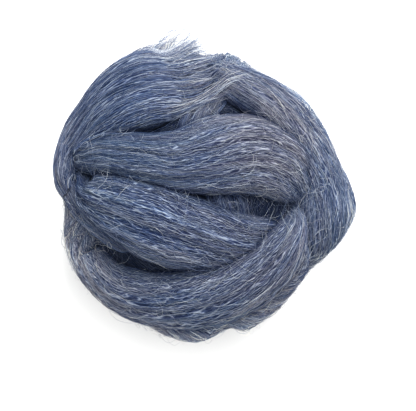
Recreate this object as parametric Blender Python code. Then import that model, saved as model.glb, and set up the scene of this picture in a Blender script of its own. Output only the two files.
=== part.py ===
"""Ball of combed wool roving, wound by hand, with the loose end of the roving fanned out over it.

Metres, +Z up. The origin is under the middle of the ball, on the surface that it rests on.
Seen from above, +X is to the right and +Y is away from the viewer.
"""

import math
from collections import namedtuple

import bmesh
import bpy
import numpy as np
from mathutils import Matrix, Vector

MM = 0.001

# Driving sizes of the ball.
BALL_ACROSS = 162 * MM  # over the turns, seen from above
BALL_TALL = 124 * MM  # from the table to the top of the turns
TURN_THICK = 14 * MM  # what the outer turns add to the wound core
FLAT_SPOT_SUNK = 7 * MM  # how far the soft ball has settled onto its flat spot

CORE_RADIUS = BALL_ACROSS / 2 - TURN_THICK
BALL_HALF_HEIGHT = (BALL_TALL + FLAT_SPOT_SUNK) / 2
CORE_HALF_HEIGHT = BALL_HALF_HEIGHT - TURN_THICK
CENTRE_HEIGHT = BALL_TALL - BALL_HALF_HEIGHT
ARC_RADIUS = (BALL_ACROSS / 2 + BALL_HALF_HEIGHT) / 2  # turns a length over the ball into an angle

# A section of a turn: where its middle passes, as a bearing from +X towards +Y and an elevation
# above the ball's middle, in degrees, and its width, the height of its edges above the core and
# the rise of its crown above those edges, in millimetres.
Section = namedtuple("Section", "bearing elevation width lift crown")

# A turn's sections follow each other along the roving. A closed turn comes back to its first.
# Its furrows part its locks of fibre, and its twist winds them round it, in turns to the metre.
Turn = namedtuple("Turn", "name closed furrows twist sections")

TURNS = (
    Turn("upper", False, 3, 0, (
        Section(170, 14, 14, 0, 5),
        Section(168, 28, 12, 3, 6),
        Section(167, 36, 13, 5, 8.5),
        Section(166, 41, 16, 5, 9.5),
        Section(162, 47, 21, 5, 10),
        Section(158, 56, 26, 5, 10),
        Section(151, 67.5, 29, 5, 10),
        Section(133, 76, 33, 5, 10.5),
        Section(96, 78.5, 38, 5, 11),
        Section(62, 75.5, 42, 5, 11),
        Section(43, 69.5, 43, 4.5, 11),
        Section(31, 63, 44, 3.5, 11),
        Section(21, 56, 43, 2.5, 10.5),
        Section(13, 49, 42, 1.5, 10),
        Section(6, 42, 38, 0.5, 8),
        Section(0, 36, 30, 0, 6),
        Section(356, 31, 18, 0, 4),
    )),
    Turn("middle", False, 3, 0, (
        Section(174, 14, 14, 0, 5),
        Section(174, 28, 9, 2, 6),
        Section(176, 35, 8, 3, 8),
        Section(180, 37, 13, 3, 9.5),
        Section(185, 40, 24, 3, 10.5),
        Section(191, 47, 31, 3, 11),
        Section(201, 55.5, 36, 3, 11),
        Section(219, 62, 39.5, 3, 11),
        Section(242, 67, 41, 3, 11),
        Section(270, 68, 40, 2, 10.5),
        Section(292, 64, 38, 1.5, 10),
        Section(308, 57, 36, 1, 8.5),
        Section(320, 49, 32, 0, 7),
        Section(330, 39, 26, 0, 4),
    )),
    Turn("lower", False, 3, 0, (
        Section(190, 44, 14, 0, 5),
        Section(194, 34, 16, 0, 8),
        Section(197.5, 25, 24, 0, 10),
        Section(201, 16, 30, 0.5, 11.5),
        Section(206, 11, 35, 1, 12),
        Section(213, 10.5, 39, 1.5, 12),
        Section(222, 13, 43, 2, 12),
        Section(232, 17.5, 45, 2.5, 12.5),
        Section(244, 23.5, 48, 3, 12.5),
        Section(262, 31, 50, 3.5, 12.5),
        Section(283, 38.5, 50, 4, 12),
        Section(299, 43, 46, 4, 12),
        Section(313, 44.5, 38, 4, 12),
        Section(325, 45, 30, 4, 11),
        Section(334, 45, 21, 3.5, 10),
        Section(341, 44.5, 12, 2, 8),
        Section(348, 44, 8, 0, 4),
    )),
    Turn("right", True, 4, 0, (
        Section(100, -20, 30, 0, 6),
        Section(94, 5, 30, 0, 4),
        Section(87, 20, 28, 0, 4),
        Section(79, 30, 30, 1, 6),
        Section(66, 37, 33, 3, 7.5),
        Section(51, 38, 36, 3.5, 8.5),
        Section(35, 36, 40, 3.5, 8.5),
        Section(19, 33, 43, 3.5, 9),
        Section(6, 29, 45, 3, 10.5),
        Section(355, 26, 46, 2, 14),
        Section(346, 22, 44, 2, 14.5),
        Section(341, 15, 40, 1, 13),
        Section(338, 4, 36, 0, 10),
        Section(334, -12, 34, 0, 10),
        Section(329, -42, 38, 0, 12),
        Section(322, -70, 40, 0, 13),
        Section(170, -80, 40, 0, 13),
        Section(132, -52, 36, 0, 11),
    )),
    Turn("tail", False, 4, 0, (
        Section(214, 44, 16, 0, 5),
        Section(202, 38, 20, 0, 7),
        Section(192, 31, 24, 0, 9),
        Section(184, 26, 30, 0, 11),
        Section(177, 22, 36, 1, 12),
        Section(171, 21, 39, 2, 12),
        Section(165, 20, 40, 2, 12),
        Section(157, 21.5, 42, 2, 12),
        Section(148, 25, 46, 2, 12),
        Section(139, 28, 55, 2, 13),
        Section(127, 31, 64, 2, 14),
        Section(118, 32.5, 67, 2, 14),
        Section(110, 33, 62, 2, 12),
        Section(104, 32.5, 50, 1, 7.5),
    )),
    Turn("rope", False, 2, 14, (
        Section(236, -6, 24, 0, 8),
        Section(252, 4, 26, 0, 12),
        Section(262, 9, 28, 0, 15),
        Section(272, 12, 28, 0, 15.5),
        Section(280, 14, 22, 0, 11),
        Section(288, 17, 26, 0, 16),
        Section(300, 20, 26, 0, 14),
        Section(311, 24, 24, 0, 12),
        Section(320, 28, 20, 0, 11),
        Section(327, 33, 14, 0, 9),
        Section(333, 38, 9, 0, 4),
    )),
    Turn("belt", True, 3, 0, (
        Section(0, 4, 38, 0, 14),
        Section(12, 5, 38, 0, 7.5),
        Section(28, 5, 38, 0, 5.5),
        Section(42, 4, 38, 0, 5),
        Section(60, 3, 38, 0, 2.5),
        Section(88, -2, 40, 0, 3.5),
        Section(103, 0, 40, 0, 14),
        Section(115, 0, 42, 0, 14),
        Section(130, 2, 40, 0, 9.5),
        Section(150, 3, 38, 0, 11.5),
        Section(175, 2, 34, 0, 10.5),
        Section(188, 0, 30, 0, 7),
        Section(202, -2, 36, 0, 11),
        Section(218, -4, 40, 0, 12),
        Section(243, -3, 40, 0, 13.5),
        Section(268, -4, 38, 0, 10.5),
        Section(300, -6, 36, 0, 8.5),
        Section(322, -6, 32, 0, 6.5),
        Section(334, -2, 34, 0, 10),
        Section(343, 0, 36, 0, 16),
        Section(352, 2, 38, 0, 18),
    )),
    Turn("under", True, 3, 0, (
        Section(0, -30, 38, 0, 11),
        Section(40, -36, 38, 0, 9),
        Section(80, -34, 38, 0, 9),
        Section(120, -28, 38, 0, 11),
        Section(160, -30, 38, 0, 11),
        Section(200, -36, 38, 0, 11),
        Section(240, -30, 38, 0, 11),
        Section(280, -28, 38, 0, 8),
        Section(320, -32, 38, 0, 6),
    )),
    Turn("foot", True, 3, 0, (
        Section(0, -54, 40, 0, 11),
        Section(60, -58, 40, 0, 11),
        Section(120, -53, 40, 0, 11),
        Section(180, -57, 40, 0, 11),
        Section(240, -53, 40, 0, 11),
        Section(300, -58, 40, 0, 11),
    )),
    Turn("inner", True, 2, 0, (
        Section(78, 20, 30, 0, 6),
        Section(80, 44, 17, 0, 5),
        Section(98, 64, 20, 0, 3.5),
        Section(50, 84, 30, 0, 4),
        Section(305, 72, 32, 0, 4.5),
        Section(283, 55, 34, 0, 4),
        Section(266, 20, 34, 0, 6),
        Section(258, -20, 34, 0, 6),
        Section(250, -55, 38, 0, 12),
        Section(200, -80, 40, 0, 13),
        Section(85, -62, 38, 0, 12),
        Section(80, -20, 34, 0, 6),
    )),
)

# The loose end lies over the last turn, and its lift is how far its free tip stands clear of it.
LooseSection = namedtuple("LooseSection", "bearing elevation width lift")
LOOSE_END = (
    LooseSection(183, 25, 12, 0),
    LooseSection(178.5, 22.6, 21, 0),
    LooseSection(173, 21, 29, 0),
    LooseSection(167.5, 20.5, 34, 0),
    LooseSection(161, 21, 37, 0),
    LooseSection(153, 23.5, 40, 0),
    LooseSection(144, 26.5, 46, 0),
    LooseSection(133, 30, 54, 0),
    LooseSection(121, 32.5, 60, 0),
    LooseSection(109, 33.5, 63, 0.3),
    LooseSection(97, 31.5, 60, 1),
    LooseSection(87, 28, 52, 2.5),
)
END_THICK = 2.0 * MM
END_GAP = 0.5 * MM  # how clear of the ball the loose end lies
END_SUNK = 0.6 * MM  # how far its underside is made too low, before it is fitted to the ball
END_ROWS = 34
LOCKS_PART_AT = 0.84  # where along the loose end its locks of fibre part from each other
LOCK_TAPER = 0.8  # how much narrower a lock is at its tip

# A lock's columns give its width and length its share of the parted length, from the crown of the
# ball outwards.
Lock = namedtuple("Lock", "columns length")
LOCKS = (
    Lock(3, 0.66),
    Lock(2, 0.9),
    Lock(4, 1.0),
    Lock(3, 0.78),
    Lock(2, 0.9),
    Lock(4, 0.66),
    Lock(3, 0.7),
    Lock(2, 0.45),
    Lock(3, 0.5),
    Lock(2, 0.25),
)

SPLINE_STEPS = 12  # samples between two sections
PROFILE_SQUARENESS = 2.2  # how full a turn's crown is, 2 being an ellipse
PROFILE_EDGE = 0.7  # how steeply a turn's edges fall
FURROW_DEPTH = 1.2 * MM  # the soft grooves between the locks of fibre in one turn
FURROW_WANDER = 0.9  # how far a groove wanders, as an angle of its wave
BUNCH_HEIGHT = 0.08  # how much a turn swells and thins along its length, as a share
CORE_LUMP = 1.0 * MM  # unevenness of the core between the turns
BALL_SUBDIVISIONS = 7
BALL_KEPT_FACES = 0.138
BALL_SMOOTHING = 5  # passes that round off the bottoms of the creases


def direction(bearing, elevation):
    """The unit vector towards a bearing and an elevation, both in degrees."""
    turn, rise = math.radians(bearing), math.radians(elevation)
    return np.array(
        [math.cos(rise) * math.cos(turn), math.cos(rise) * math.sin(turn), math.sin(rise)]
    )


def unit(vectors):
    return vectors / np.linalg.norm(vectors, axis=-1, keepdims=True)


def spline(points, closed):
    """Catmull-Rom samples through the rows of an array, which may hold any number of columns."""
    count = len(points)
    spans = count if closed else count - 1
    share = np.linspace(0, 1, SPLINE_STEPS, endpoint=False)[:, None]
    samples = []
    for i in range(spans):
        around = [i - 1, i, i + 1, i + 2]
        if closed:
            before, start, end, after = (points[k % count] for k in around)
        else:
            before, start, end, after = (points[min(max(k, 0), count - 1)] for k in around)
        samples.append(
            start
            + 0.5 * share * (end - before)
            + share**2 * (before - 2.5 * start + 2 * end - 0.5 * after)
            + 0.5 * share**3 * (3 * (start - end) + after - before)
        )
    if not closed:
        samples.append(points[-1:])
    return np.concatenate(samples)


def turn_path(turn):
    """A turn's samples: unit vectors to its middle, across and along it, and its sizes in metres."""
    rows = [
        [*direction(s.bearing, s.elevation), s.width * MM, s.lift * MM, s.crown * MM]
        for s in turn.sections
    ]
    samples = spline(np.array(rows), turn.closed)
    middle = unit(samples[:, :3])
    if turn.closed:
        ahead = np.roll(middle, -1, axis=0) - np.roll(middle, 1, axis=0)
    else:
        ahead = np.gradient(middle, axis=0)
    across = unit(np.cross(middle, ahead))
    along = unit(np.cross(across, middle))
    return middle, across, along, samples[:, 3], samples[:, 4], samples[:, 5]


def crown_profile(across):
    """The rise of a turn's crown, from 0 at its edges to 1, where across runs from -1 to 1."""
    inside = np.clip(1 - np.abs(across) ** PROFILE_SQUARENESS, 0, 1)
    return inside**PROFILE_EDGE


def furrow_depth(turn, across, distance, phase):
    """The depth, from 0 to 1, of the grooves that part a turn's locks of fibre."""
    wander = FURROW_WANDER * (np.sin(38 * distance + phase) + 0.6 * np.sin(83 * distance + 2 * phase))
    round_it = math.tau * turn.twist * distance
    wave = 0.5 + 0.5 * np.cos(math.pi * turn.furrows * across + round_it + wander + phase)
    return wave**3


def turn_height(turn, phase, towards):
    """How far a turn's surface stands above the core in each direction, and 0 beside the turn."""
    middle, across, along, width, lift, crown = turn_path(turn)
    nearest = np.argmax(towards @ middle.T, axis=1)
    sideways = ARC_RADIUS * np.arcsin(np.clip(np.sum(towards * across[nearest], axis=1), -1, 1))
    onward = ARC_RADIUS * np.arcsin(np.clip(np.sum(towards * along[nearest], axis=1), -1, 1))
    if turn.closed:
        past_end = np.zeros(len(towards))
    else:
        last = len(middle) - 1
        past_end = np.where(nearest == 0, -onward, np.where(nearest == last, onward, 0)).clip(0)
    facing = np.sum(towards * middle[nearest], axis=1) > 0
    half = width[nearest] / 2
    offset = sideways / half
    reach = np.hypot(offset, past_end / half)
    steps = np.linalg.norm(np.diff(middle, axis=0), axis=1)
    distance = (ARC_RADIUS * np.concatenate([[0], np.cumsum(steps)]))[nearest]
    groove = FURROW_DEPTH * furrow_depth(turn, offset, distance, phase)
    bunch = 1 + BUNCH_HEIGHT * np.sin(55 * distance + 3 * phase)
    height = lift[nearest] + (crown[nearest] * bunch - groove) * crown_profile(reach)
    return np.where(facing & (reach < 1), height, 0)


def ball_height(towards):
    """How far the wound ball's surface stands above its core in each direction."""
    height = CORE_LUMP * (
        1 + np.sin(9 * towards[:, 0] + 1) * np.sin(8 * towards[:, 1]) * np.sin(9 * towards[:, 2])
    )
    for number, turn in enumerate(TURNS):
        height = np.maximum(height, turn_height(turn, 1.7 * number, towards))
    return height


def surface_point(towards, height):
    """The point in each direction that stands so high above the core."""
    half_sizes = np.array([CORE_RADIUS, CORE_RADIUS, CORE_HALF_HEIGHT])
    points = towards * (half_sizes + height[:, None])
    points[:, 2] += CENTRE_HEIGHT
    return points


def wool_material():
    wool = bpy.data.materials.new("heather_wool")
    wool.use_nodes = True
    shader = wool.node_tree.nodes["Principled BSDF"]
    shader.inputs["Base Color"].default_value = (0.107, 0.13, 0.191, 1)
    shader.inputs["Roughness"].default_value = 0.9
    shader.inputs["Metallic"].default_value = 0
    return wool


def clear_scene():
    for left in list(bpy.data.objects):
        bpy.data.objects.remove(left)


def ball_of_turns(material):
    """The wound ball: a sphere whose points stand out as far as the turns of roving do."""
    bpy.ops.mesh.primitive_ico_sphere_add(subdivisions=BALL_SUBDIVISIONS, radius=1)
    ball = bpy.context.object
    ball.name = "wound_ball"
    towards = unit(np.array([v.co for v in ball.data.vertices]))
    points = surface_point(towards, ball_height(towards))
    ball.data.vertices.foreach_set("co", points.astype(np.float32).ravel())
    soften = ball.modifiers.new("soft_creases", "SMOOTH")
    soften.iterations = BALL_SMOOTHING
    thin_out = ball.modifiers.new("fewer_faces", "DECIMATE")
    thin_out.ratio = BALL_KEPT_FACES
    bpy.context.view_layer.update()
    flatten_foot(ball)
    ball.data.materials.append(material)
    return ball


def flatten_foot(ball):
    """Cuts the ball level where it rests, on z = 0."""
    graph = bpy.context.evaluated_depsgraph_get()
    settled = bpy.data.meshes.new_from_object(ball.evaluated_get(graph))
    ball.modifiers.clear()
    shape = bmesh.new()
    shape.from_mesh(settled)
    cut = bmesh.ops.bisect_plane(
        shape,
        geom=shape.verts[:] + shape.edges[:] + shape.faces[:],
        plane_co=(0, 0, 0),
        plane_no=(0, 0, 1),
        clear_inner=True,
    )
    rim = [e for e in cut["geom_cut"] if isinstance(e, bmesh.types.BMEdge)]
    bmesh.ops.holes_fill(shape, edges=rim, sides=0)
    bmesh.ops.triangulate(shape, faces=[f for f in shape.faces if len(f.verts) > 3])
    shape.to_mesh(settled)
    shape.free()
    ball.data = settled


def loose_end_points(along, across, level):
    """Points of the loose end, from its root at 0 to its tip at 1, and from its underside at 0 to
    its top at 1."""
    rows = [
        [*direction(s.bearing, s.elevation), s.width * MM, s.lift * MM] for s in LOOSE_END
    ]
    path = spline(np.array(rows), False)
    middle = unit(path[:, :3])
    across_of = unit(np.cross(middle, np.gradient(middle, axis=0)))
    place = along * (len(path) - 1)
    steps = np.arange(len(path))

    def here(columns):
        return np.stack([np.interp(place, steps, column) for column in columns.T], axis=1)

    swing = (across * here(path[:, 3:4])[:, 0] / 2 / ARC_RADIUS)[:, None]
    towards = unit(np.cos(swing) * unit(here(middle)) + np.sin(swing) * unit(here(across_of)))
    lift = here(path[:, 4:5])[:, 0] + END_GAP - END_SUNK + level * (END_THICK + END_SUNK)
    return surface_point(towards, ball_height(towards) + lift)


def loose_end(material, ball, cutters):
    """The last of the roving, a thin sheet over the ball, whose tip parts into tapered locks."""
    columns = sum(lock.columns for lock in LOCKS)
    lock_of_column = [number for number, lock in enumerate(LOCKS) for _ in range(lock.columns)]
    seams = [sum(lock.columns for lock in LOCKS[:k]) for k in range(len(LOCKS) + 1)]
    bpy.ops.mesh.primitive_grid_add(x_subdivisions=END_ROWS, y_subdivisions=columns, size=2)
    end = bpy.context.object
    end.name = "loose_end"
    shape = bmesh.new()
    shape.from_mesh(end.data)
    part_row = math.floor(LOCKS_PART_AT * END_ROWS)
    part_at = part_row / END_ROWS

    def between_locks(edge):
        seam = round((edge.verts[0].co.y + 1) / 2 * columns)
        level = abs(edge.verts[0].co.y - edge.verts[1].co.y) < 1e-6
        parted = min(v.co.x for v in edge.verts) > 2 * part_at - 1 - 1e-4
        return level and parted and seam in seams[1:-1]

    bmesh.ops.split_edges(shape, edges=[e for e in shape.edges if between_locks(e)])
    thick = bmesh.ops.extrude_face_region(shape, geom=shape.faces[:])
    top = {v for v in thick["geom"] if isinstance(v, bmesh.types.BMVert)}
    places = []
    for vertex in shape.verts:
        faces_middle = sum(f.calc_center_median().y for f in vertex.link_faces)
        column = math.floor((faces_middle / len(vertex.link_faces) + 1) / 2 * columns)
        lock = lock_of_column[min(max(column, 0), columns - 1)]
        along = (vertex.co.x + 1) / 2
        across = vertex.co.y
        if along > part_at:
            beyond = (along - part_at) / (1 - part_at)
            lock_middle = (seams[lock] + seams[lock + 1]) / columns - 1
            across = lock_middle + (across - lock_middle) * (1 - LOCK_TAPER * beyond**1.2)
            along = part_at + (along - part_at) * LOCKS[lock].length
        places.append((along, across, vertex in top))
    points = loose_end_points(*np.array(places, dtype=float).T)
    for vertex, point in zip(shape.verts, points):
        vertex.co = point
    bmesh.ops.recalc_face_normals(shape, faces=shape.faces)
    shape.to_mesh(end.data)
    shape.free()
    end.data.materials.append(material)
    fit = end.modifiers.new("clear_of_the_ball", "BOOLEAN")
    fit.operation = "DIFFERENCE"
    fit.solver = "EXACT"
    fit.object = swollen_ball(ball, cutters)
    return end


def swollen_ball(ball, cutters):
    """The space that the loose end keeps clear of, which is the ball and a thin gap over it."""
    mesh = ball.data.copy()
    heart = Vector((0, 0, CENTRE_HEIGHT))
    for vertex in mesh.vertices:
        vertex.co += (vertex.co - heart).normalized() * END_GAP
    swollen = bpy.data.objects.new("ball_with_gap", mesh)
    swollen.hide_render = True
    swollen.display_type = "WIRE"
    cutters.objects.link(swollen)
    return swollen


def rest_on_origin(pieces):
    """Moves the pieces, in plan, so that the middle of the space they fill is over the origin."""
    graph = bpy.context.evaluated_depsgraph_get()
    corners = []
    for piece in pieces:
        filled = piece.evaluated_get(graph).data
        corners += [vertex.co for vertex in filled.vertices]
    ends = np.array(corners)
    off = (ends.max(axis=0) + ends.min(axis=0)) / 2
    for piece in pieces:
        for holder in {piece, *(m.object for m in piece.modifiers if m.type == "BOOLEAN")}:
            holder.data.transform(Matrix.Translation((-off[0], -off[1], 0)))


def main():
    clear_scene()
    roving = bpy.data.collections.new("wool_roving")
    cutters = bpy.data.collections.new("cutters")
    cutters.hide_render = True
    for group in (roving, cutters):
        bpy.context.scene.collection.children.link(group)
    wool = wool_material()
    ball = ball_of_turns(wool)
    pieces = (ball, loose_end(wool, ball, cutters))
    rest_on_origin(pieces)
    for piece in pieces:
        for holder in list(piece.users_collection):
            holder.objects.unlink(piece)
        roving.objects.link(piece)
        piece.data.shade_smooth()


main()
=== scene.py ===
"""The looks of a ball of combed wool roving, wound by hand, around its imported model.

Metres, +Z up. Seen from above, +X is to the right and +Y is away from the viewer.
"""

import math
from collections import namedtuple

import bmesh
import bpy
import numpy as np
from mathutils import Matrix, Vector


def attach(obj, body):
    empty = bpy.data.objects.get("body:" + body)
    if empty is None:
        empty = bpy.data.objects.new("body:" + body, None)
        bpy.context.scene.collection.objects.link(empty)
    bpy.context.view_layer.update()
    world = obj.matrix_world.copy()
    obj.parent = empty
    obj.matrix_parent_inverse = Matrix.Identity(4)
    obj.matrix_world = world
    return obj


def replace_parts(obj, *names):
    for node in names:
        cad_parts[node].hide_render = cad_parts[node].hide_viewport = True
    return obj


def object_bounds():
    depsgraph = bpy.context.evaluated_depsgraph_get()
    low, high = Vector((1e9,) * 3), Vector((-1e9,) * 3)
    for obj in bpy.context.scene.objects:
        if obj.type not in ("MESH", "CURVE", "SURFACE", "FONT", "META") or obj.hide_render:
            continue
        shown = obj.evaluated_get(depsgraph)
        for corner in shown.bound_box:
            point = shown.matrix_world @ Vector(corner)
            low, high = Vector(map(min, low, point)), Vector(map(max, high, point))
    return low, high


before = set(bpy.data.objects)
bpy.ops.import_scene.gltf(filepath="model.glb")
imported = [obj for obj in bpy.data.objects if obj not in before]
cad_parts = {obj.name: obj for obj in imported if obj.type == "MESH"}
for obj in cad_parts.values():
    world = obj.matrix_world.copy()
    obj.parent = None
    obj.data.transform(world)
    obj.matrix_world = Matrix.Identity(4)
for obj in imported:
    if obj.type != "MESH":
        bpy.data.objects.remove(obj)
cad_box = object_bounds()
# Any camera or light from before gives way to this scene's own.
for left in [thing for thing in bpy.data.objects if thing.type in {"CAMERA", "LIGHT"}]:
    bpy.data.objects.remove(left)


# The heart of the ball: the first few metres of roving, wound tightly round themselves.
# It is the same combed wool as the rest, and only glimpses of it show between the turns, darkened by painted
# shade.
MM = 0.001
BALL_ACROSS = 162 * MM
BALL_TALL = 124 * MM
TURN_THICK = 14 * MM
FLAT_SPOT_SUNK = 7 * MM
CORE_RADIUS = BALL_ACROSS / 2 - TURN_THICK
BALL_HALF_HEIGHT = (BALL_TALL + FLAT_SPOT_SUNK) / 2
# The turns aren't even, so the heart isn't in the middle of the ball's box.
CENTRE = np.array([-2.513 * MM, 1.154 * MM, BALL_TALL - BALL_HALF_HEIGHT])
HALF_SIZES = np.array([CORE_RADIUS, CORE_RADIUS, BALL_HALF_HEIGHT - TURN_THICK])
ARC_RADIUS = (BALL_ACROSS / 2 + BALL_HALF_HEIGHT) / 2
CORE_LUMP = 1 * MM
HEART_RINGS = 40
HEART_SIDES = 64
HEART_LIGHT = 0.4  # the share of light fibre in its blend
HEART_PAINTED_SHADE = 0.10  # painted shade: how much of its colour the heart keeps deep between the turns
HEART_LOWEST = 1.6 * MM
LOWEST = 0.25 * MM  # how close above the table the wool lies

# The dyes that are blended in the wool, as linear colours.
NAVY = np.array([0.010, 0.017, 0.050])
SLATE = np.array([0.068, 0.098, 0.184])
LILAC = np.array([0.195, 0.235, 0.335])
STONE = np.array([0.125, 0.122, 0.158])
TEAL = np.array([0.058, 0.106, 0.170])
PALE = np.array([0.430, 0.485, 0.550])
SAND = np.array([0.400, 0.375, 0.360])
SHADE_TINT = np.array([1.26, 1.09, 0.78])  # the tint of the painted shade: red goes first in it, and blue last
UNDER_FIBRES_PAINTED_SHADE = 0.85  # painted shade: how much of its colour wool keeps where other fibres lie over it and shade it
WARM_PLACE = (30, 56)  # bearing and elevation where more grey than blue is in the blend


def unit(vectors):
    return vectors / np.linalg.norm(vectors, axis=-1, keepdims=True)


def direction(bearing, elevation):
    """The unit vector towards a bearing from +X and an elevation, both in degrees."""
    turn, rise = np.radians(bearing), np.radians(elevation)
    return np.stack([np.cos(rise) * np.cos(turn), np.cos(rise) * np.sin(turn), np.sin(rise)], -1)


def bearings(towards):
    """The bearing and elevation of unit vectors, both in degrees."""
    x, y, z = np.moveaxis(towards, -1, 0)
    return np.degrees(np.arctan2(y, x)), np.degrees(np.arcsin(z.clip(-1, 1)))


def at_height(towards, height):
    """The points in some directions from the ball's middle, so high above its heart."""
    return towards * (HALF_SIZES + height[..., None]) + CENTRE


def heart_height(towards):
    x, y, z = np.moveaxis(towards, -1, 0)
    return CORE_LUMP * (1 + np.sin(9 * x + 1) * np.sin(8 * y) * np.sin(9 * z))


def rested(points, lowest=LOWEST):
    """The points, with those that would go through the table brought up onto it."""
    points = points.copy()
    points[..., 2] = np.maximum(points[..., 2], lowest)
    return points


def warmth(towards):
    """How grey the blend is in each direction, or how teal where it is below 0."""
    x, y, z = np.moveaxis(towards, -1, 0)
    drift = np.sin(5.1 * x + 2.3 * y) + np.sin(4.3 * y - 3.7 * z + 1) + np.sin(6.1 * z + 2.9 * x + 2)
    near = np.exp(-((1 - towards @ direction(*WARM_PLACE)) / 0.06) ** 2)
    return 0.14 + 0.15 * drift + 0.65 * near


def in_shade(kept, colours):
    """Colours under painted shade, of which so much is kept, or painted light where more than all is
    kept. The painted shade is bluer, as what light gets in deep has been through the blue wool.
    """
    return colours * np.asarray(kept)[..., None] ** SHADE_TINT


def blended(warm, light):
    """The wool's colour where so much is light, from 0 to 1, and so much is grey, from 0 to 1, or
    else teal, from 0 to -1."""
    warm, light = warm[..., None], np.asarray(light)[..., None]
    cool, warm = -warm.clip(-1, 0), warm.clip(0, 1)
    body = SLATE + warm * (STONE - SLATE) + cool * (TEAL - SLATE)
    dark = np.clip(1 - 2 * light, 0, 1)
    bright = np.clip(2 * light - 1, 0, 1)
    lit = LILAC + (PALE - LILAC) * np.clip(2 * bright - 1, 0, 1)
    lit = lit + 0.6 * warm * (SAND - lit)
    return (body + dark * (NAVY - body) + bright * (lit - body)).clip(0, 1)


def placed(name, data, place=(0, 0, 0)):
    """A new object in the scene."""
    thing = bpy.data.objects.new(name, data)
    thing.location = place
    bpy.context.scene.collection.objects.link(thing)
    return thing


def built(name, points, corners, sizes, lay, bake, colours):
    """A mesh object from flat arrays: its faces' corners, how many each has, two maps of its
    faces (which way the fibres lie, and room in a baked picture) and the colour at each point."""
    mesh = bpy.data.meshes.new(name)
    mesh.vertices.add(len(points))
    mesh.vertices.foreach_set("co", points.astype(np.float32).ravel())
    mesh.loops.add(len(corners))
    mesh.loops.foreach_set("vertex_index", corners.astype(np.int32))
    mesh.polygons.add(len(sizes))
    starts = np.concatenate([[0], np.cumsum(sizes)[:-1]])
    mesh.polygons.foreach_set("loop_start", starts.astype(np.int32))
    mesh.polygons.foreach_set("use_smooth", np.ones(len(sizes), bool))
    for label, places in (("OFBake", bake), ("lay", lay)):
        mesh.uv_layers.new(name=label).data.foreach_set("uv", places.astype(np.float32).ravel())
    dye = mesh.color_attributes.new("dye", "FLOAT_COLOR", "POINT")
    filled = np.concatenate([colours, np.ones((len(points), 1))], 1)
    dye.data.foreach_set("color", filled.astype(np.float32).ravel())
    mesh.update(calc_edges=True)
    mesh.validate()
    return placed(name, mesh)


def skin(name, rings, closed, lay, colours, fold):
    """A closed skin over rings of points. It joins its last ring to its first, or else both are
    tips. Its lay has one more column than the rings have points, and one more row if closed. In a
    baked picture it lies in as many strips as its fold says."""
    count, sides = rings.shape[:2]
    spans = count if closed else count - 1
    ring, side = (grid.ravel() for grid in np.mgrid[0:spans, 0:sides])
    number = ring * sides + side
    beside = ring * sides + (side + 1) % sides
    beyond = (ring + 1) % count * sides
    quads = np.stack([number, beyond + side, beyond + (side + 1) % sides, beside], 1)
    place = np.stack([ring, ring + 1, ring + 1, ring], 1)
    column = np.stack([side, side, side + 1, side + 1], 1)
    row = ring * fold // spans
    along = (place - (row * spans / fold)[:, None]) / (spans / fold + 1)
    across = (row[:, None] + 0.01 + 0.98 * column / sides) / fold
    bake = np.stack([0.005 + 0.99 * along, across], -1)
    keep = np.ones(quads.shape, bool)
    if not closed:
        keep[ring == 0, 3] = False  # the first ring is one tip, so its quads lose a corner
        keep[ring == spans - 1, 2] = False
        quads[ring == 0, 0] = 0
        quads[ring == spans - 1, 1] = (count - 1) * sides
    used = np.unique(quads[keep])
    renumbered = np.zeros(count * sides, int)
    renumbered[used] = np.arange(len(used))
    points, dyes = rings.reshape(-1, 3)[used], colours.reshape(-1, 3)[used]
    corners, places = renumbered[quads[keep]], lay[place, column][keep]
    return built(name, points, corners, keep.sum(1), places, bake[keep], dyes)


class Dye:
    """A number or a colour among a material's nodes. Arithmetic on it adds Math nodes."""

    def __init__(self, tree, socket=None):
        self.tree, self.socket = tree, socket

    def node(self, kind, settings, inputs, output=0):
        """Adds a node with its settings, and then a value or a link for each of its sockets."""
        made = self.tree.nodes.new(kind)
        for name, setting in settings.items():
            if name == "stops":
                ramp = made.color_ramp.elements
                for position, _ in setting[2:]:
                    ramp.new(position)
                for stop, (position, colour) in zip(ramp, setting):
                    stop.position, stop.color = position, (*colour, 1)
            else:
                setattr(made, name, setting)
        for name, given in inputs.items():
            self.feed(made.inputs[name], given)
        return Dye(self.tree, made.outputs[output])

    def feed(self, socket, given):
        if isinstance(given, Dye):
            self.tree.links.new(given.socket, socket)
        else:
            socket.default_value = given

    def maths(self, operation, first, second):
        return self.node("ShaderNodeMath", {"operation": operation}, {0: first, 1: second})

    def __add__(self, other):
        return self.maths("ADD", self, other)

    def __sub__(self, other):
        return self.maths("SUBTRACT", self, other)

    def __mul__(self, other):
        return self.maths("MULTIPLY", self, other)

    def __rsub__(self, other):
        return self.maths("SUBTRACT", other, self)

    __radd__, __rmul__ = __add__, __mul__


WOOL_FINISH = {
    "Sheen Weight": 0.04,
    "Sheen Roughness": 0.5,
    "Sheen Tint": (0.4, 0.65, 1, 1),
    "Specular IOR Level": 0.03,
}


def new_wool(name):
    """A wool material with its soft sheen, and its nodes to work on."""
    wool = bpy.data.materials.new(name)
    wool.use_nodes = True
    shader = wool.node_tree.nodes["Principled BSDF"]
    for name, given in WOOL_FINISH.items():
        shader.inputs[name].default_value = given
    return wool, shader, Dye(wool.node_tree)


def dyed(dye, stops, fibre):
    """The blend of dyes at each point of a piece, and the same made darker and lighter by stops
    that follow its fibre."""
    shade = dye.node("ShaderNodeValToRGB", {"stops": stops}, {"Fac": fibre})
    blend = dye.node("ShaderNodeAttribute", {"attribute_name": "dye"}, {})
    settings = {"data_type": "RGBA", "blend_type": "MULTIPLY"}
    return blend, dye.node("ShaderNodeMix", settings, {0: 1.0, 6: blend, 7: shade}, output=2)


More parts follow.
